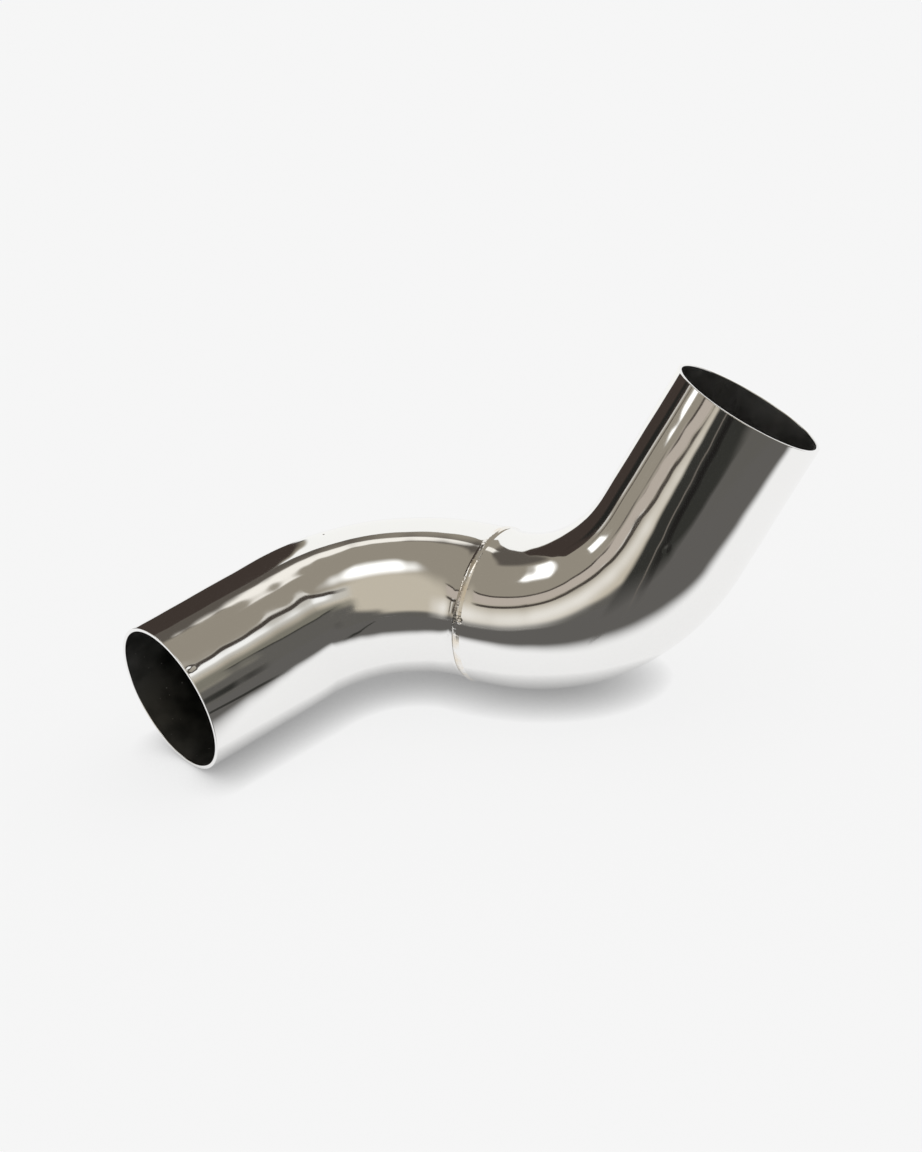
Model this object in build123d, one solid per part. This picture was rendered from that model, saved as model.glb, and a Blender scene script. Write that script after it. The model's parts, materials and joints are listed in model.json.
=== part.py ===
from build123d import *
import os
from math import atan, cos, degrees, pi, radians, sin

# A polished stainless exhaust pipe: two mandrel-bent tube elbows butt-welded into a twisted S.
# It is built about the weld, where the tube runs along +X and the front elbow leaves towards -X.

# The tube of both elbows.
TUBE_OD = 63.5
WALL = 1.5
BEND_RADIUS = 72.2          # of the centre line, one former for both bends
EDGE_BREAK = 0.25           # bevel of the deburred mouths

# Lengths and angles of the two elbows.
FRONT_LEG = 60.3            # straight end of the elbow that lies on the floor
REAR_LEG = 58.5             # straight end of the elbow that rises
FRONT_BEND_ANGLE = 68.5
REAR_BEND_ANGLE = 69.0
REAR_TURN_ANGLE = 56.5      # of the rear bend about the tube, away from a flat S

# The weld that joins them.
ROOT_GAP = 1.0              # between the squared ends
BEAD_WIDTH = 4.4
BEAD_HEIGHT = 0.6
BEAD_BURIED = 0.3           # how far the metal in the gap reaches up into the bead
ROOT_WIDTH = 2.4            # of the metal that came through to the inside
ROOT_HEIGHT = 0.4
RIPPLES = 96                # frozen puddles round the tube
RIPPLE_STEP = 0.12          # how far each puddle stands above the one before it
RIPPLE_ROUND = 3.2          # radius of the crescent edge of a puddle
TOE_MARGIN = 0.8            # straight tube beyond the bead, before the bend starts

# The knob and its pit, where the torch was lifted.
STOP_ANGLE = 64.5           # about the tube, from the top
STOP_ASIDE = 1.1            # from the middle of the bead towards the rear elbow
STOP_WIDTH = 3.5
STOP_HEIGHT = 0.75
PIT_WIDTH = 2.0
PIT_DEPTH = 0.35

# How the pipe lies: on the front mouth's rim and the underside of the rear elbow.
REST_ROLL = 6.78
REST_PITCH = 6.81
REST_YAW = -36.51

TUBE_R = TUBE_OD / 2
BORE_R = TUBE_R - WALL
STUB = BEAD_WIDTH / 2 + TOE_MARGIN
ALONG_X = (0, 90, 0)


def across(x, y, heading):
    """The plane square to the tube's centre line at (x, y), where the line heads so many degrees from +X."""
    return Plane(origin=(x, y, 0), x_dir=(0, 0, 1), z_dir=(cos(radians(heading)), sin(radians(heading)), 0))


def elbow(leg, bend):
    """A mandrel-bent tube from the weld gap: a short stub along +X, the bend towards +Y, the straight leg."""
    turn_x, turn_y = sin(radians(bend)), cos(radians(bend))
    end_x, end_y = STUB + BEND_RADIUS * turn_x, BEND_RADIUS * (1 - turn_y)
    section = Circle(TUBE_R) - Circle(BORE_R)
    former = Axis((STUB, BEND_RADIUS, 0), (0, 0, 1))
    stub = extrude(across(ROOT_GAP / 2, 0, 0) * section, amount=STUB - ROOT_GAP / 2)
    curve = revolve(across(STUB, 0, 0) * section, axis=former, revolution_arc=bend)
    straight = extrude(across(end_x, end_y, bend) * section, amount=leg)
    tube = stub + curve + straight
    mouth = across(end_x + leg * turn_y, end_y + leg * turn_x, bend)
    rims = [edge for edge in tube.edges().filter_by(GeomType.CIRCLE) if mouth.contains(edge.arc_center)]
    return chamfer(rims, EDGE_BREAK)


def crown_radius(width, height):
    """The radius of the circle whose arc has this width and height."""
    return ((width / 2) ** 2 + height**2) / (2 * height)


def solid_tube():
    """A bar as thick as the tube, well past both toes of the weld, that trims what stands on the tube."""
    return Cylinder(TUBE_R, 4 * STUB, rotation=ALONG_X)


def crescent_cutter(turn):
    """A bar standing out of the tube, so many degrees round it, whose side is a puddle's crescent edge."""
    bar = Cylinder(RIPPLE_ROUND, TUBE_R, align=(Align.CENTER, Align.CENTER, Align.MIN))
    half_bar = 180 * RIPPLE_ROUND / (pi * TUBE_R)
    return Rot(X=turn + half_bar) * Pos(0, 0, TUBE_R / 2) * bar


def puddle():
    """One frozen puddle on top of the tube: a crescent of the bead, highest at its round trailing edge."""
    pitch = 360 / RIPPLES
    crown = crown_radius(BEAD_WIDTH, BEAD_HEIGHT)
    lean = RIPPLES * RIPPLE_STEP / (pi * TUBE_OD)
    bar = Cylinder(crown, TUBE_R, rotation=(90 + degrees(atan(lean)), 0, 0))
    low_end = TUBE_R + BEAD_HEIGHT + RIPPLE_STEP / 2 - crown
    crescent = crescent_cutter(0) - crescent_cutter(pitch)
    return (Pos(0, 0, low_end) * bar & crescent) - solid_tube()


def gap_metal():
    """The metal between the squared ends, with the low bead that it left inside the bore."""
    fill = Cylinder(TUBE_R + BEAD_BURIED, ROOT_GAP, rotation=ALONG_X)
    foot, crest = ROOT_WIDTH / 2, BORE_R - ROOT_HEIGHT
    inner = Polyline((-foot, BORE_R), (-foot / 2, crest), (foot / 2, crest), (foot, BORE_R), close=True)
    root = revolve(make_face(inner), axis=Axis.X)
    return fill - Cylinder(BORE_R, ROOT_GAP, rotation=ALONG_X) + root


def stop_knob():
    """The knob on top of the tube, beside the middle of the bead."""
    ball = crown_radius(STOP_WIDTH, STOP_HEIGHT)
    return Pos(STOP_ASIDE, 0, TUBE_R + STOP_HEIGHT - ball) * Sphere(ball) - solid_tube()


def stop_pit():
    """The ball whose underside is the pit in the knob."""
    ball = crown_radius(PIT_WIDTH, PIT_DEPTH)
    return Pos(STOP_ASIDE, 0, TUBE_R + STOP_HEIGHT - PIT_DEPTH + ball) * Sphere(ball)


def weld_bead():
    """The whole weld in one ring: the filled gap, the rippled bead over it, the stop knob and its pit."""
    one = puddle()
    puddles = [Rot(X=360 * count / RIPPLES) * one for count in range(RIPPLES)]
    stop = Rot(X=STOP_ANGLE)
    ring = gap_metal() + puddles
    return ring + stop * stop_knob() - stop * stop_pit()


def lying(pieces):
    """The pieces turned to lie on the floor at Z = 0, with the middle of their plan at the origin."""
    rest = Rot(Z=REST_YAW) * Rot(Y=REST_PITCH) * Rot(X=REST_ROLL)
    turned = {name: rest * piece for name, piece in pieces.items()}
    box = Compound(children=[Part() + piece for piece in turned.values()]).bounding_box()
    middle = box.center()
    return {name: Pos(-middle.X, -middle.Y, -box.min.Z) * piece for name, piece in turned.items()}


pieces = lying({
    "front_elbow": Rot(Z=180) * elbow(FRONT_LEG, FRONT_BEND_ANGLE),
    "rear_elbow": Rot(X=REAR_TURN_ANGLE) * elbow(REAR_LEG, REAR_BEND_ANGLE),
    "weld_bead": weld_bead(),
})
os.makedirs("parts", exist_ok=True)
for name, piece in pieces.items():
    export_step(piece, f"parts/{name}.step")
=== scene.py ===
import json
import bpy
import numpy as np
from mathutils import Matrix


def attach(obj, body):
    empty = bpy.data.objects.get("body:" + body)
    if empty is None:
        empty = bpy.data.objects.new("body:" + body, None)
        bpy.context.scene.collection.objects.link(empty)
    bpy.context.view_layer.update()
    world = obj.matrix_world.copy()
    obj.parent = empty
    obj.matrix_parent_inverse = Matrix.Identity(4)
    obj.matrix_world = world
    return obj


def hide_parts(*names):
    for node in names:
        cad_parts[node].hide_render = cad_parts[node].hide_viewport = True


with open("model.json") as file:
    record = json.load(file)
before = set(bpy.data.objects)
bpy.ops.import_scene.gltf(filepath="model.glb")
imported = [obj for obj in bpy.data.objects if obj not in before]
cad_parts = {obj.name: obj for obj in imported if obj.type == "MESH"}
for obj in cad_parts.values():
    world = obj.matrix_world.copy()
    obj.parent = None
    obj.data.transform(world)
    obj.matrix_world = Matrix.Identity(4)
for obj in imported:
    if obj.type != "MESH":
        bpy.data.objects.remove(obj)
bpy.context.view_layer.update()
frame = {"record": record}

# The two elbows. Each is one length of thin stainless tube, bent cold over a mandrel on the same
# former and then polished to a mirror outside. The bore keeps the dull, dark skin of the mill.
MM = 0.001                      # all sizes of the pipe are in mm, and the frame is in metres
TUBE_R, WALL = 31.75, 1.5
BORE_R = TUBE_R - WALL
BEND_RADIUS = 72.2              # of the centre line
STUB = 3.0                      # straight tube between the weld and the start of each bend
ROOT_GAP = 1.0                  # between the squared ends, filled by the weld
FRONT_LEG, FRONT_BEND = 60.3, 68.5
REAR_LEG, REAR_BEND, REAR_TURN = 58.5, 69.0, 56.5
REST_ROLL, REST_PITCH, REST_YAW = 6.78, 6.81, -36.51    # how the pipe lies, in degrees
LIP_ROUND = 0.25                # of the deburred mouth
LIP_GUARD = 0.06                # a close row beside the lip, which keeps its shading off the mirror
LIP_STEPS = 4
SWELL_HEIGHT, SWELL_REACH = 0.32, 4.5   # of the skin's rise beside the weld
# Polish waves as (length, times round, height), and how far and over what length they wander.
POLISH_WAVES = ((34, 1, 0.034), (21, 2, 0.020), (13, 3, 0.009), (8, 5, 0.003))
RING_WEAVE, LENGTH_WEAVE, LONG_WAVE = 1.4, 0.9, 2.3
FADE_AT_MOUTH, FADE_AT_WELD = 4, 6      # over which the polish waves die out
AROUND = 300                    # points round the tube
BEND_ROWS, LEG_ROWS, STUB_ROWS = 150, 40, 6
BORE_SKIP = 2                   # the bore's rows are every second one of the outside's


def turn_about(axis, degrees):
    """The 3 x 3 matrix that turns by so many degrees about X, Y or Z."""
    return np.array(Matrix.Rotation(np.radians(degrees), 3, axis))


def lie_down(points):
    """Points about the weld, in mm, turned and moved to where the pipe lies in the frame, in metres.

    Roll, pitch and yaw come first. The move then brings the middle of the front leg to the place
    that the record gives for the mount round it.
    """
    rest = turn_about("Z", REST_YAW) @ turn_about("Y", REST_PITCH) @ turn_about("X", REST_ROLL)
    mount = next(m for m in frame["record"]["mounts"] if m["name"] == "front_mouth_outside")
    leg_middle, _ = centre_line(np.array([STUB + BEND_RADIUS * np.radians(FRONT_BEND) + FRONT_LEG / 2]),
                                FRONT_BEND)
    home = leg_middle[0] @ turn_about("Z", 180).T @ rest.T
    return (points @ rest.T - home) * MM + np.array(mount["pos_m"])


def centre_line(along, bend):
    """Points on an elbow's centre line and the heading there, in degrees, for distances from the weld.

    A short stub along +X, then an arc towards +Y, then a straight leg.
    """
    arc = np.clip(along - STUB, 0, BEND_RADIUS * np.radians(bend))
    heading = arc / BEND_RADIUS
    past = np.minimum(along, STUB)
    leg = np.maximum(along - STUB - BEND_RADIUS * np.radians(bend), 0)
    x = past + BEND_RADIUS * np.sin(heading) + leg * np.cos(heading)
    y = BEND_RADIUS * (1 - np.cos(heading)) + leg * np.sin(heading)
    return np.stack([x, y, 0 * x], axis=1), np.degrees(heading)


def polish_waves(along, turn, seed):
    """How far the polished skin stands off a true tube, in mm: a few slow sines along and round it."""
    rng = np.random.default_rng(seed)
    height = 0 * (along + turn)
    for length, times_round, size in POLISH_WAVES:
        shift, swing = rng.uniform(0, 2 * np.pi, 2)
        drift = LENGTH_WEAVE * np.sin(2 * np.pi * along / (LONG_WAVE * length))
        height += size * np.sin(2 * np.pi * along / length + shift + RING_WEAVE * np.cos(turn + swing))
        height += size * np.sin(times_round * turn + swing + drift)
    return height


def weld_swell(along):
    """How far the polished skin rises towards the weld: half a bell over the last few millimetres."""
    return SWELL_HEIGHT * np.exp(-((along / SWELL_REACH) ** 2))


def small_pits(along, turn, pits):
    """How far the skin stands off at pits of (distance from the weld, turn in degrees, radius, depth).

    Each pit is a bell turned downwards.
    """
    height = 0 * (along + turn)
    for at, around, radius, depth in pits:
        aside = TUBE_R * ((turn - np.radians(around) + np.pi) % (2 * np.pi) - np.pi)
        height -= depth * np.exp(-((along - at) ** 2 + aside**2) / radius**2)
    return height


def elbow_rows(leg, bend):
    """The rows of an elbow's wall: distance from the weld, radius, and 0 outside or 1 in the bore.

    They go from the weld along the outside, over the rounded lip and back along the bore.
    """
    end_bend = STUB + BEND_RADIUS * np.radians(bend)
    mouth = end_bend + leg
    stations = np.concatenate([
        np.linspace(ROOT_GAP / 2, STUB, STUB_ROWS, endpoint=False),
        np.linspace(STUB, end_bend, BEND_ROWS, endpoint=False),
        np.linspace(end_bend, mouth - LIP_ROUND - LIP_GUARD, LEG_ROWS),
    ])
    lip = np.linspace(0, np.pi / 2, LIP_STEPS + 1)
    lip_along = mouth - LIP_ROUND + LIP_ROUND * np.sin(lip)
    lip_drop = LIP_ROUND * (1 - np.cos(lip))
    bore_stations = stations[::-BORE_SKIP]
    along = np.concatenate([stations, lip_along, lip_along[::-1], bore_stations])
    radius = np.concatenate([
        np.full(stations.size, TUBE_R), TUBE_R - lip_drop,
        BORE_R + lip_drop[::-1], np.full(bore_stations.size, BORE_R),
    ])
    inside = np.concatenate([np.zeros(stations.size + 2 * lip.size), np.ones(bore_stations.size)])
    return along, radius, inside


def closed_skin(name, grid, shades):
    """A mesh from a grid of points that closes both ways, with one painted value for each point."""
    rows, columns = grid.shape[:2]
    mesh = bpy.data.meshes.new(name)
    row, column = np.meshgrid(np.arange(rows), np.arange(columns), indexing="ij")
    below, beside = (row + 1) % rows, (column + 1) % columns
    corners = np.stack([row * columns + column, row * columns + beside,
                        below * columns + beside, below * columns + column], axis=-1).reshape(-1, 4)
    mesh.from_pydata(grid.reshape(-1, 3), [], corners)
    mesh.polygons.foreach_set("use_smooth", np.ones(len(corners), bool))
    for label, values in shades.items():
        layer = mesh.attributes.new(label, "FLOAT", "POINT")
        painted = np.broadcast_to(values, (rows, columns)).ravel()
        layer.data.foreach_set("value", painted.astype(np.float32))
    mesh.update()
    piece = bpy.data.objects.new(name, mesh)
    bpy.context.collection.objects.link(piece)
    return piece


def elbow_grid(leg, bend, placed, seed, pits):
    """The elbow's wall as a grid: each row's circle, square to the centre line, turned into place."""
    along, radius, inside = elbow_rows(leg, bend)
    line, heading = centre_line(along, bend)
    heading = np.radians(heading)
    side = np.stack([-np.sin(heading), np.cos(heading), 0 * heading], axis=1)
    turn = np.linspace(0, 2 * np.pi, AROUND, endpoint=False)[None, :]
    down = along[:, None]
    waves = polish_waves(down, turn, seed) * (inside[:, None] == 0)
    waves = waves * np.clip((along.max() - down) / FADE_AT_MOUTH, 0, 1)
    waves = waves * np.clip(down / FADE_AT_WELD, 0, 1)
    marks = weld_swell(down) + small_pits(down, turn, pits)
    waves = waves + marks * (radius[:, None] >= TUBE_R)
    reach = (radius[:, None] + waves)[..., None]
    up = np.array([0, 0, 1.0])
    outward = np.cos(turn)[..., None] * side[:, None] + np.sin(turn)[..., None] * up
    grid = line[:, None] + reach * outward
    return lie_down(grid @ placed.T), inside[:, None]


def node_adder(tree):
    """A short way to add a shader node to that tree, with its inputs linked or set and its settings."""
    def add(kind, inputs=(), **settings):
        node = tree.nodes.new("ShaderNode" + kind)
        for key, value in settings.items():
            setattr(node, key, value)
        for key, value in dict(inputs).items():
            if isinstance(value, bpy.types.NodeSocket):
                tree.links.new(value, node.inputs[key])
            else:
                node.inputs[key].default_value = value
        return node
    return add


def new_material(name):
    """A node material, with its node tree, its shader and the way to add nodes to it."""
    material = bpy.data.materials.new(name)
    material.use_nodes = True
    tree = material.node_tree
    return material, tree, tree.nodes["Principled BSDF"], node_adder(tree)


MIRROR_COLOUR = (0.93, 0.925, 0.915, 1)
MILL_COLOUR = (0.19, 0.19, 0.18, 1)
MILL_DARK = (0.12, 0.12, 0.113, 1)
GRIT_COLOUR = (0.95, 0.95, 0.93, 1)
MIRROR_ROUGH = (0.035, 0.085)
MILL_ROUGH = (0.34, 0.58)


def polished_steel():
    """Mirror-polished stainless outside and a dull mill skin in the bore, told apart by "bore", which
    paints a bore lighter, part way to the mirror, where it stays under 1.
    """
    material, tree, shader, add = new_material("polished_steel")
    place = add("TexCoord").outputs["Object"]
    bore = add("Attribute", attribute_name="bore").outputs["Fac"]
    smears = add("TexNoise", {"Vector": place, "Scale": 38.0, "Detail": 6.0, "Roughness": 0.62})
    mirror_rough = add("MapRange", {"Value": smears.outputs["Fac"], "From Min": 0.35, "From Max": 0.75,
                                    "To Min": MIRROR_ROUGH[0], "To Max": MIRROR_ROUGH[1]})
    mill = add("TexNoise", {"Vector": place, "Scale": 55.0, "Detail": 5.0, "Roughness": 0.6})
    mill_rough = add("MapRange", {"Value": mill.outputs["Fac"], "From Min": 0.35, "From Max": 0.65,
                                  "To Min": MILL_ROUGH[0], "To Max": MILL_ROUGH[1]})
    patches = add("MapRange", {"Value": mill.outputs["Fac"], "From Min": 0.38, "From Max": 0.62,
                               "To Min": 0.0, "To Max": 1.0})
    mill_colour = add("Mix", {"A": MILL_DARK, "B": MILL_COLOUR, "Factor": patches.outputs["Result"]},
                      data_type="RGBA")
    grit = add("TexNoise", {"Vector": place, "Scale": 620.0, "Detail": 1.0})
    grain = add("MapRange", {"Value": grit.outputs["Fac"], "From Min": 0.76, "From Max": 0.79,
                             "To Min": 0.0, "To Max": 0.9})
    gritty = add("Mix", {"A": mill_colour.outputs["Result"], "B": GRIT_COLOUR,
                         "Factor": grain.outputs["Result"]}, data_type="RGBA")
    colour = add("Mix", {"A": MIRROR_COLOUR, "B": gritty.outputs["Result"], "Factor": bore},
                 data_type="RGBA")
    rough = add("Mix", {"A": mirror_rough.outputs["Result"], "B": mill_rough.outputs["Result"],
                        "Factor": bore})
    tree.links.new(colour.outputs["Result"], shader.inputs["Base Color"])
    tree.links.new(rough.outputs["Result"], shader.inputs["Roughness"])
    shader.inputs["Metallic"].default_value = 1.0
    return material


FRONT_PITS = ((65.8, 111.0, 0.6, 0.32), (147.4, 54.0, 0.9, 0.30))
REAR_PITS = ((90.8, 110.5, 0.8, 0.42),)
FRONT_DULLNESS, REAR_DULLNESS_PAINTED_LIT = 1.0, 0.45       # how much of the mill skin shows in each bore; the rear's smaller share is painted light, which makes that bore lighter to stand for the light falling into it
steel = polished_steel()
for node, leg, bend, placed, seed, dullness_and_painted_light, pits in (
    ("front_elbow", FRONT_LEG, FRONT_BEND, turn_about("Z", 180), 3, FRONT_DULLNESS, FRONT_PITS),
    ("rear_elbow", REAR_LEG, REAR_BEND, turn_about("X", REAR_TURN), 8, REAR_DULLNESS_PAINTED_LIT, REAR_PITS),
):
    grid, inside = elbow_grid(leg, bend, placed, seed, pits)
    wall = closed_skin(node + "_polished", grid, {"bore": dullness_and_painted_light * inside})
    wall.data.materials.append(steel)
    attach(wall, "root")
    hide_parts(node)


# The weld. One bead of stainless filler laid with a torch round the squared ends, with its frozen
# puddles, the metal that came through to the bore, and the knob and pit where the torch was lifted.
BEAD_WIDTH, BEAD_HEIGHT = 4.4, 0.76
ROOT_WIDTH, ROOT_HEIGHT = 2.4, 0.4
RIPPLES, RIPPLE_STEP, RIPPLE_ROUND = 96, 0.035, 3.2
RIPPLE_RISE = 0.8               # the share of a puddle that rises, before its trailing edge
STRAND_WIDTH, STRAND_HEIGHT = 1.7, 0.05
STOP_ANGLE, STOP_ASIDE, STOP_WIDTH, STOP_HEIGHT = 64.5, 1.3, 3.1, 1.30
PIT_WIDTH, PIT_DEPTH = 1.1, 0.35
SUNK = 0.03                     # how far hidden faces stand inside the tube
BEAD_AROUND, BEAD_ACROSS, BEAD_REACH = 1536, 37, 3.0
TOE_STAIN = (-1.5, 5.0, -2.2, 0.9)      # its middle and reach along the bead, and aside
KNOB_SHADE_RING = (1.15, 0.38)               # the radius of the ring of painted shade round the knob's sides, and its reach
# How the hand wandered as it went round, as (share, times round, shift) of slow sines.
PUDDLE_DRIFT = ((0.55, 3, 0), (0.3, 7, 1), (0.2, 11, 2))
STRAND_DRIFT = ((2.2, 2, 0), (1.3, 5, 1), (0.6, 13, 0))
STRAND_SHARE, STRAND_FADE = 0.6, ((0.4, 4, 2),)
CROWN_DRIFT = ((0.10, 5, 0.4), (0.06, 9, 2.1))


def wandering(turn, start, waves):
    """A value that wanders round the tube: the start plus sines of (share, times round, shift)."""
    value = start
    for share, times_round, shift in waves:
        value = value + share * np.sin(times_round * turn + shift)
    return value


def puddle_steps(turn, across):
    """The height of the frozen puddles: each rises slowly and ends in a round, steep trailing edge."""
    pitch = 2 * np.pi * TUBE_R / RIPPLES
    crescent = (RIPPLE_ROUND - np.sqrt(RIPPLE_ROUND**2 - across**2)) / pitch
    phase = (RIPPLES * turn / (2 * np.pi) + wandering(turn, 0, PUDDLE_DRIFT) - crescent) % 1
    return RIPPLE_STEP * np.minimum(phase / RIPPLE_RISE, (1 - phase) / (1 - RIPPLE_RISE))


def strands(turn, across):
    """The lines along the bead where the filler ran: low waves across it that wander, come and go."""
    wave = np.sin(2 * np.pi * across / STRAND_WIDTH + wandering(turn, 0, STRAND_DRIFT))
    return STRAND_HEIGHT * wave * wandering(turn, STRAND_SHARE, STRAND_FADE)


def from_stop(turn, across):
    """How far a point of the bead is from the place where the torch was lifted: along and aside."""
    stop_turn = (turn - np.radians(90 + STOP_ANGLE) + np.pi) % (2 * np.pi) - np.pi
    return TUBE_R * stop_turn, across - STOP_ASIDE


def bead_crown(turn, across):
    """How far the bead's top stands off the tube: a low arch, its puddles, the knob and the pit."""
    edge = np.clip(1 - (2 * across / BEAD_WIDTH) ** 2, 0, 1)
    arch = BEAD_HEIGHT * edge * wandering(turn, 1, CROWN_DRIFT)
    height = arch + (puddle_steps(turn, across) + strands(turn, across)) * np.sqrt(edge)
    away = np.hypot(*from_stop(turn, across))
    knob = STOP_HEIGHT * np.sqrt(np.clip(1 - (2 * away / STOP_WIDTH) ** 2, 0, 1))
    pit = PIT_DEPTH * np.clip(1 - (2 * away / PIT_WIDTH) ** 2, 0, 1)
    return np.maximum(height, knob) - pit - SUNK


def soot_and_shade(turn, across):
    """Where the weld is darkened, 0 to 1: a stain on a stretch of its toe beside the knob, and painted
    shade on the knob's sides.

    Each is a bell, of the distance from the middle of the stretch and from the ring round the knob.
    """
    along, aside = from_stop(turn, across)
    toe_at, toe_length, toe_aside, toe_width = TOE_STAIN
    toe = np.exp(-(((along - toe_at) / toe_length) ** 2) - ((aside - toe_aside) / toe_width) ** 2)
    ring, ring_width = KNOB_SHADE_RING
    shaded_sides = np.exp(-(((np.hypot(along, aside) - ring) / ring_width) ** 2))
    return np.maximum(toe, shaded_sides)


def bead_grid():
    """The weld's closed section carried round the tube: the crown, the gap and the root in the bore."""
    turn = np.linspace(0, 2 * np.pi, BEAD_AROUND, endpoint=False)[None, :]
    across = np.linspace(-BEAD_REACH, BEAD_REACH, BEAD_ACROSS)
    crown = TUBE_R + bead_crown(turn, across[:, None])
    gap, foot = ROOT_GAP / 2, ROOT_WIDTH / 2
    hidden = np.array([
        (gap, TUBE_R - SUNK), (gap, BORE_R + SUNK), (foot, BORE_R + SUNK),
        (foot / 2, BORE_R - ROOT_HEIGHT), (-foot / 2, BORE_R - ROOT_HEIGHT),
        (-foot, BORE_R + SUNK), (-gap, BORE_R + SUNK), (-gap, TUBE_R - SUNK),
    ])
    along = np.concatenate([across, hidden[:, 0]])
    radius = np.concatenate([crown, np.broadcast_to(hidden[:, 1:], (len(hidden), BEAD_AROUND))])
    along = np.broadcast_to(along[:, None], radius.shape)
    grid = np.stack([along, radius * np.cos(turn), radius * np.sin(turn)], axis=-1)
    stain_and_shade = np.concatenate([soot_and_shade(turn, across[:, None]), np.zeros((len(hidden), BEAD_AROUND))])
    return lie_down(grid[::-1]), stain_and_shade[::-1]


STRAW_COLOUR = (0.86, 0.77, 0.64, 1)
# Dark oxide for the specks and the toe's stain, also used as painted shade on the knob's sides.
OXIDE_AND_SHADE_COLOUR = (0.05, 0.045, 0.04, 1)
STAIN_AND_SHADE_STRENGTH = 0.28


def weld_steel():
    """Bright weld metal buffed with the tube: straw coloured in places, dark oxide at specks and on the
    toe's stain, and the same dark as painted shade on the knob's sides.
    """
    material, tree, shader, add = new_material("weld_steel")
    place = add("TexCoord").outputs["Object"]
    stain_and_shade = add("Attribute", attribute_name="stain_and_shade").outputs["Fac"]
    specks = add("TexNoise", {"Vector": place, "Scale": 1400.0, "Detail": 3.0, "Roughness": 0.6})
    patches = add("TexNoise", {"Vector": place, "Scale": 110.0, "Detail": 3.0})
    tint = add("MapRange", {"Value": patches.outputs["Fac"], "From Min": 0.45, "From Max": 0.70,
                            "To Min": 0.0, "To Max": 1.0})
    straw = add("Mix", {"A": MIRROR_COLOUR, "B": STRAW_COLOUR, "Factor": tint.outputs["Result"]},
                data_type="RGBA")
    weighted_stain_and_shade = add("Math", {0: stain_and_shade, 1: STAIN_AND_SHADE_STRENGTH}, operation="MULTIPLY")
    near_stop = add("Math", {0: specks.outputs["Fac"], 1: weighted_stain_and_shade.outputs[0]}, operation="ADD")
    oxide_and_shade = add("MapRange", {"Value": near_stop.outputs[0], "From Min": 0.66, "From Max": 0.76,
                             "To Min": 0.0, "To Max": 0.85})
    colour = add("Mix", {"A": straw.outputs["Result"], "B": OXIDE_AND_SHADE_COLOUR,
                         "Factor": oxide_and_shade.outputs["Result"]}, data_type="RGBA")
    rough = add("MapRange", {"Value": patches.outputs["Fac"], "From Min": 0.3, "From Max": 0.7,
                             "To Min": 0.06, "To Max": 0.16})
    grain = add("Bump", {"Height": specks.outputs["Fac"], "Strength": 0.05, "Distance": 0.0001})
    tree.links.new(colour.outputs["Result"], shader.inputs["Base Color"])
    tree.links.new(rough.outputs["Result"], shader.inputs["Roughness"])
    tree.links.new(grain.outputs["Normal"], shader.inputs["Normal"])
    shader.inputs["Metallic"].default_value = 1.0
    return material


grid, stain_and_shade = bead_grid()
bead = closed_skin("weld_ring", grid, {"stain_and_shade": stain_and_shade})
bead.data.materials.append(weld_steel())
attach(bead, "root")
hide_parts("weld_bead")


# The room round the pipe. Polished steel has hardly a colour of its own and shows the room instead, so
# the walls, screens, window and soft boxes stand here as glowing panels, faded out at their edges.
# Only reflections see them: they light nothing, and the camera looks through them.
TABLE_GREY = (0.118, 0.113, 0.106)
DARK_TAUPE = (0.13, 0.115, 0.10)
DARK_BROWN = (0.050, 0.038, 0.032)
NEAR_BLACK = (0.033, 0.033, 0.029)
GREY_DARK = (0.115, 0.11, 0.10)
OLIVE = (0.20, 0.19, 0.155)
CREAM = (0.86, 0.83, 0.77)
SILVER = (0.62, 0.60, 0.55)
BEAM_TAUPE = (0.48, 0.425, 0.37)
LINE_BROWN = (0.06, 0.05, 0.042)
STREAK_BROWN = (0.17, 0.15, 0.13)
SOOT_BLACK = (0.014, 0.013, 0.012)
WALL_BROWN = (0.105, 0.092, 0.078)
WHITE = (1.0, 1.0, 0.98)
ROOM_EYE = np.array([0.0, 0.0, 0.05])   # where directions into the room are counted from
PATCH_CELLS = 12
FOOT_BLEND = 0.12                       # how fast a panel's foot colour gives way to its own
TOP_FROM, TOP_FULL = 0.90, 0.96         # where its top colour begins and is full


def panel_cells():
    """The two parameters of a panel's points, each 0 to 1: from side to side and from foot to top."""
    share = np.linspace(0, 1, PATCH_CELLS + 1)
    return np.meshgrid(share, share, indexing="ij")


def room_place(around, rise, distance):
    """The point so many degrees round from +Y towards +X and so many above level, at that distance."""
    around, rise = np.radians(around), np.radians(rise)
    level = np.cos(rise)
    way = np.stack([np.sin(around) * level, np.cos(around) * level, np.sin(rise)], axis=-1)
    return ROOM_EYE + distance * way


def room_panel(name, around, rise, distance, colour, strength=1.0, soft=0.15, tilt=0.0, **shading):
    """A panel of the room that only the metal sees: a patch of a sphere, faded out towards its edges.

    around and rise are (from, to) in degrees; tilt lifts its far side by so many degrees.
    """
    u, v = panel_cells()
    points = room_place(around[0] + u * (around[1] - around[0]),
                        rise[0] + v * (rise[1] - rise[0]) + tilt * u, distance)
    return glowing(name, points, u, v, colour, strength, soft, **shading)


def upright(name, left, right, top, colour, strength=1.0, soft=0.03, right_top=None, lean=0.0,
            **shading):
    """A panel that stands upright over two points of the floor, up to that height or heights.

    lean moves the top of its left side by that part of its length towards the right.
    """
    u, v = panel_cells()
    tall = top + u * ((right_top or top) - top)
    run = u + lean * v * (1 - u)
    points = np.stack([left[0] + run * (right[0] - left[0]), left[1] + run * (right[1] - left[1]),
                       v * tall], axis=-1)
    return glowing(name, points, u, v, colour, strength, soft, **shading)


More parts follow.
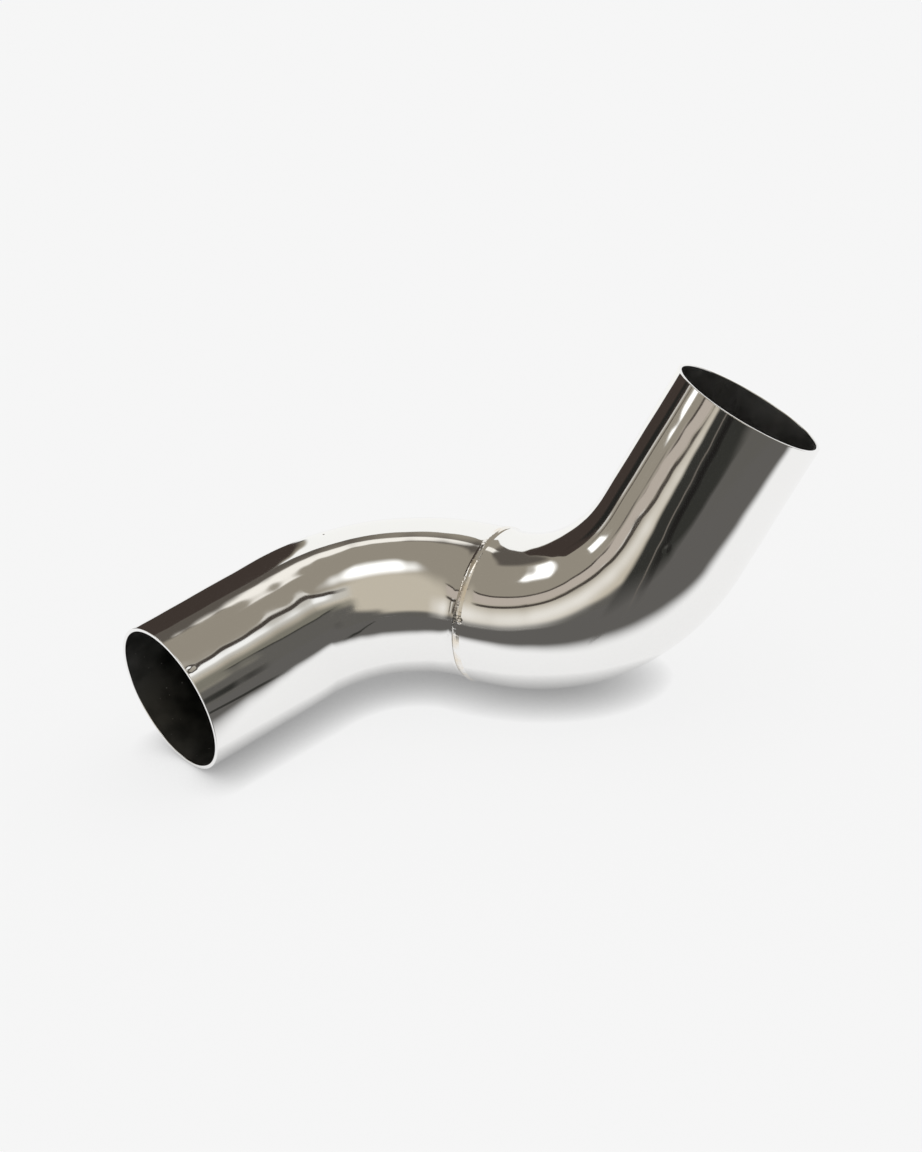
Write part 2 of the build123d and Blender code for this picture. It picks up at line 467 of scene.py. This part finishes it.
def glowing(name, points, u, v, colour, strength, soft, foot_colour=None, top_colour=None,
            foot_share=0.30, side_soft=None, seen_from_left=False):
    """The mesh and the light of a panel: its colour from foot to top, and clear at its edges.

    seen_from_left leaves it clear from the other side, where left is as one walks along it.
    """
    side = PATCH_CELLS + 1
    mesh = bpy.data.meshes.new(name)
    corner = (np.arange(PATCH_CELLS)[:, None] * side + np.arange(PATCH_CELLS)).ravel()
    faces = np.stack([corner, corner + 1, corner + side + 1, corner + side], axis=1)
    mesh.from_pydata(points.reshape(-1, 3), [], faces)
    for label, values in (("from_side", u), ("from_foot", v)):
        layer = mesh.attributes.new(label, "FLOAT", "POINT")
        layer.data.foreach_set("value", values.ravel().astype(np.float32))
    panel = bpy.data.objects.new(name, mesh)
    bpy.context.collection.objects.link(panel)
    panel.visible_camera = panel.visible_diffuse = panel.visible_shadow = False
    panel.visible_transmission = panel.visible_volume_scatter = False
    material, tree, shader, add = new_material(name)
    edges = []
    for label, fade in (("from_side", side_soft or soft), ("from_foot", soft)):
        run = add("Attribute", attribute_name=label).outputs["Fac"]
        from_far = add("Math", {0: 1.0, 1: run}, operation="SUBTRACT")
        inward = add("Math", {0: from_far.outputs[0], 1: run}, operation="MINIMUM")
        edges.append(add("MapRange", {"Value": inward.outputs[0], "From Min": 0.0, "From Max": fade},
                         interpolation_type="SMOOTHSTEP").outputs["Result"])
    cover = add("Math", {0: edges[0], 1: edges[1]}, operation="MULTIPLY").outputs[0]
    if seen_from_left:
        behind = add("NewGeometry").outputs["Backfacing"]
        front_side = add("Math", {0: 1.0, 1: behind}, operation="SUBTRACT")
        cover = add("Math", {0: cover, 1: front_side.outputs[0]}, operation="MULTIPLY").outputs[0]
    ramp = add("ValToRGB", {"Fac": run})
    stops = ((0.0, foot_colour or colour), (foot_share, foot_colour or colour),
             (foot_share + FOOT_BLEND, colour), (TOP_FROM, colour),
             (TOP_FULL, top_colour or colour))
    for _ in stops[2:]:
        ramp.color_ramp.elements.new(0.5)
    for element, (at, shade) in zip(ramp.color_ramp.elements, stops):
        element.position, element.color = at, (*shade, 1)
    glow = add("Emission", {"Color": ramp.outputs["Color"], "Strength": strength})
    mixed = add("MixShader", {0: cover, 1: add("BsdfTransparent").outputs[0], 2: glow.outputs[0]})
    tree.links.new(mixed.outputs[0], tree.nodes["Material Output"].inputs["Surface"])
    mesh.materials.append(material)
    return panel


# Behind the pipe: a white panel and a brown one side by side, and the wall above them.
upright("white_panel", (-0.0915, 0.42), (0.26, 0.42), 0.45, WHITE, 0.96, soft=0.02)
upright("brown_panel", (-0.62, 0.422), (-0.0895, 0.422), 0.60, DARK_BROWN, soft=0.02, right_top=0.455)
upright("brown_edge", (-0.62, 0.418), (-0.34, 0.418), 0.44, NEAR_BLACK, 0.55, soft=0.3)
room_panel("brown_wall", (-50, 8), (38, 66), 1.6, WALL_BROWN, soft=0.2)
room_panel("ceiling_strip", (-8, 38), (51, 61.5), 1.1, CREAM, 1.1, soft=0.2, tilt=14)
# To the left: two soft boxes, the lines of a door, and a beam with its dark edges.
room_panel("soft_box", (-88, -46), (43, 54), 1.1, WHITE, 1.7, soft=0.25, tilt=-3)
room_panel("small_box", (-82, -66), (28.5, 34), 1.1, WHITE, 1.5, soft=0.25)
room_panel("door_gap", (-60, -53), (17, 28), 1.1, CREAM, 0.7, soft=0.3)
for place, (start, end, colour) in enumerate((
    (-64, -62, DARK_BROWN), (-90, -87, DARK_TAUPE), (-99, -93, CREAM), (-102, -100, DARK_TAUPE),
    (-112, -106, CREAM), (-115, -113, DARK_BROWN),
)):
    room_panel(f"door_line_{place}", (start, end), (6, 31), 1.05, colour, 0.85, soft=0.2)
room_panel("beam_light", (-125, -90), (33, 46.5), 1.03, BEAM_TAUPE, soft=0.12, tilt=-16)
room_panel("beam_dark", (-125, -91), (46.5, 49.5), 1.02, LINE_BROWN, soft=0.2, tilt=-19.5)
room_panel("beam_foot", (-126, -94), (28.5, 32.5), 1.02, LINE_BROWN, soft=0.2, tilt=-12)
room_panel("bright_corner", (-140, -112), (-6, 33), 1.1, CREAM, 0.95, soft=0.5)
# Over the camera and to the right of it: a light, a window and what lies under its sill.
room_panel("high_light", (114, 236), (59, 88), 1.1, WHITE, 1.4, soft=0.4, side_soft=0.32)
room_panel("window", (102, 160), (42, 64), 1.15, SILVER, 0.9, soft=0.3, tilt=-7)
room_panel("window_glare", (117, 142), (46, 57), 1.1, WHITE, 0.95, soft=0.35, tilt=-3)
room_panel("window_line", (92, 152), (60.5, 66), 1.05, LINE_BROWN, soft=0.22, tilt=-13)
room_panel("window_edge", (87, 118), (67.3, 70.8), 1.05, CREAM, 0.8, soft=0.3, tilt=-9)
room_panel("olive_wall", (100, 166), (20, 44), 1.2, OLIVE, soft=0.35, tilt=-6)
room_panel("sill", (132, 158), (10, 31), 1.18, GREY_DARK, soft=0.35)
room_panel("far_dark", (104, 190), (-8, 36), 1.3, GREY_DARK, soft=0.22, tilt=-24)
room_panel("far_band", (174, 246), (-12, 9), 1.32, GREY_DARK, soft=0.4)
room_panel("shelf_line", (98, 146), (0, 12), 1.25, NEAR_BLACK, 0.8, soft=0.35)
# In front of the pipe: screens that stand square to it and face the rear elbow, and a grey one beside.
upright("dark_screen", (0.020, -0.078), (0.020, -1.0), 0.34, NEAR_BLACK, soft=0.025, side_soft=0.014,
        lean=0.035, foot_colour=TABLE_GREY, foot_share=0.10, seen_from_left=True)
upright("light_slit", (0.0206, -0.132), (0.0206, -0.140), 0.30, STREAK_BROWN, soft=0.3,
        seen_from_left=True)
upright("black_strip", (0.0204, -0.138), (0.0204, -0.200), 0.30, SOOT_BLACK, soft=0.4,
        seen_from_left=True)
upright("low_strip", (0.020, -0.45), (0.020, -0.085), 0.012, NEAR_BLACK, soft=0.3, side_soft=0.08,
        seen_from_left=True)
upright("grey_screen", (0.070, -0.168), (0.36, -0.13), 0.180, GREY_DARK, top_colour=NEAR_BLACK,
        foot_colour=TABLE_GREY, right_top=0.20, side_soft=0.12)



# The table top. Plain grey, it starts where the sheet of paper ends, on the near side of the pipe.
# It is a panel for reflections too, laid flat just above the floor.
PAPER_EDGE_LEFT, PAPER_EDGE_RIGHT = (-6.0, 1.136), (6.0, -1.264)
TABLE_DEEP = 7.0
TABLE_LIFT = 0.0004
TABLE_SOFT = 0.0065             # the share of its depth over which its edge fades out
table_u, table_v = panel_cells()
table_points = np.stack([
    PAPER_EDGE_LEFT[0] + table_u * (PAPER_EDGE_RIGHT[0] - PAPER_EDGE_LEFT[0]),
    PAPER_EDGE_LEFT[1] + table_u * (PAPER_EDGE_RIGHT[1] - PAPER_EDGE_LEFT[1]) - TABLE_DEEP * table_v,
    0 * table_u + TABLE_LIFT], axis=-1)
glowing("table_top", table_points, table_u, table_v, TABLE_GREY, 1.0, TABLE_SOFT)


# The floor. One sheet of matt white paper. The camera and the metal see it as an even white glow, with
# a painted shade close to the pipe from an occlusion node, and the lamp's shadow only in its small lit
# share.
PAPER_WHITE = 0.93              # the paper's own colour
PAPER_SHOWN = 0.92              # how white the paper looks where nothing shades it
EVEN_WHITE = 0.88               # the share of that which glows, with only the painted shade close by on it
CLOSE_BY = 0.015                # how far, in metres, that painted shade reaches
DEEPEST_SHADE = 0.30            # what is left of the white in it
FLOOR_REACH = 8
floor_mesh = bpy.data.meshes.new("paper_floor")
floor_corners = FLOOR_REACH * np.array([(-1, -1, 0), (1, -1, 0), (1, 1, 0), (-1, 1, 0)])
floor_mesh.from_pydata(floor_corners, [], [range(4)])
floor = bpy.data.objects.new("paper_floor", floor_mesh)
bpy.context.collection.objects.link(floor)
paper, paper_tree, paper_shader, paper_add = new_material("white_paper")
paper_shader.inputs["Base Color"].default_value = (PAPER_WHITE, PAPER_WHITE, PAPER_WHITE, 1)
paper_shader.inputs["Roughness"].default_value = 1.0
paper_shader.inputs["Specular IOR Level"].default_value = 0.0
paper_rays = paper_add("LightPath").outputs
looked_at = paper_add("Math", {0: paper_rays["Is Camera Ray"], 1: paper_rays["Is Glossy Ray"]},
                      operation="MAXIMUM")
even_share = paper_add("Math", {0: looked_at.outputs[0], 1: EVEN_WHITE}, operation="MULTIPLY")
# Painted shade: the glow is darkened by ambient occlusion close to the pipe.
close_shade = paper_add("AmbientOcclusion", {"Distance": CLOSE_BY}, samples=4)
shaded_white = paper_add("MapRange", {"Value": close_shade.outputs["AO"],
                                      "To Min": DEEPEST_SHADE * PAPER_SHOWN, "To Max": PAPER_SHOWN})
white_glow_with_painted_shade = paper_add("Emission", {"Color": (1, 1, 1, 1), "Strength": shaded_white.outputs["Result"]})
paper_mix = paper_add("MixShader", {0: even_share.outputs[0], 1: paper_shader.outputs[0],
                                    2: white_glow_with_painted_shade.outputs[0]})
paper_tree.links.new(paper_mix.outputs[0], paper_tree.nodes["Material Output"].inputs["Surface"])
floor_mesh.materials.append(paper)


# The light. An even white sky and one large, soft lamp high on the right, both at a plain level. The
# camera sees the sky as white as the paper, and the metal sees warm walls over the grey table instead.
SKY_LEVEL, LAMP_LEVEL = 0.74, 0.90
LAMP_WIDTH = 70                 # how wide the lamp looks from the pipe, in degrees
LAMP_TURN = (28, 0, 100)
LIGHT_TAUPE = (0.55, 0.50, 0.41)
MID_TAUPE = (0.30, 0.27, 0.22)
world = bpy.data.worlds.new("studio_room")
bpy.context.scene.world = world
world.use_nodes = True
world.node_tree.nodes.clear()
room_node = node_adder(world.node_tree)
direction = room_node("TexCoord").outputs["Generated"]
height = room_node("SeparateXYZ", {"Vector": direction}).outputs["Z"]
facing = room_node("SeparateXYZ", {"Vector": direction}).outputs["Y"]
front_wall = room_node("MapRange", {"Value": facing, "From Min": -0.55, "From Max": -0.25,
                                    "To Min": 1.0, "To Max": 0.0}, interpolation_type="SMOOTHSTEP")
walls = room_node("Mix", {"Factor": front_wall.outputs["Result"], "A": (*MID_TAUPE, 1),
                          "B": (*LIGHT_TAUPE, 1)}, data_type="RGBA")
near_floor = room_node("MapRange", {"Value": height, "From Min": 0.03, "From Max": 0.15},
                       interpolation_type="SMOOTHSTEP")
walls = room_node("Mix", {"Factor": near_floor.outputs["Result"], "A": (*TABLE_GREY, 1),
                          "B": walls.outputs["Result"]}, data_type="RGBA")
seen = room_node("LightPath")
soft = room_node("Background", {"Color": (1, 1, 1, 1), "Strength": SKY_LEVEL})
shown = room_node("Background", {"Color": (1, 1, 1, 1), "Strength": PAPER_SHOWN})
mirrored = room_node("Background", {"Color": walls.outputs["Result"], "Strength": 1.0})
for_metal = room_node("MixShader", {0: seen.outputs["Is Glossy Ray"], 1: soft.outputs[0],
                                    2: mirrored.outputs[0]})
for_camera = room_node("MixShader", {0: seen.outputs["Is Camera Ray"], 1: for_metal.outputs[0],
                                     2: shown.outputs[0]})
room_node("OutputWorld", {"Surface": for_camera.outputs[0]})

lamp_data = bpy.data.lights.new("soft_lamp", "SUN")
lamp_data.energy = LAMP_LEVEL
lamp_data.angle = np.radians(LAMP_WIDTH)
lamp = bpy.data.objects.new("soft_lamp", lamp_data)
lamp.rotation_euler = np.radians(LAMP_TURN)
lamp.visible_glossy = False
bpy.context.collection.objects.link(lamp)


# The camera. It stands where the photograph was taken from, found by fitting the pipe's outlines and
# mouths: its place in metres, its three directions and its lens.
CAMERA_PLACE = (-0.0449565, -0.9694660, 0.5836412)
CAMERA_RIGHT = (0.9825295, -0.1206436, -0.1417072)
CAMERA_UP = (0.1821399, 0.4669708, 0.8653111)
CAMERA_FORWARD = (0.0382211, 0.8760042, -0.4807866)
SENSOR_TALL, LENS = 36, 86.02   # in mm
camera_data = bpy.data.cameras.new("camera")
camera_data.sensor_fit = "VERTICAL"
camera_data.sensor_height = SENSOR_TALL
camera_data.lens = LENS
camera = bpy.data.objects.new("camera", camera_data)
bpy.context.collection.objects.link(camera)
backward = tuple(-value for value in CAMERA_FORWARD)
camera.matrix_world = Matrix((CAMERA_RIGHT, CAMERA_UP, backward)).transposed().to_4x4()
camera.location = CAMERA_PLACE
bpy.context.scene.camera = camera
bpy.context.scene.view_settings.view_transform = "Standard"
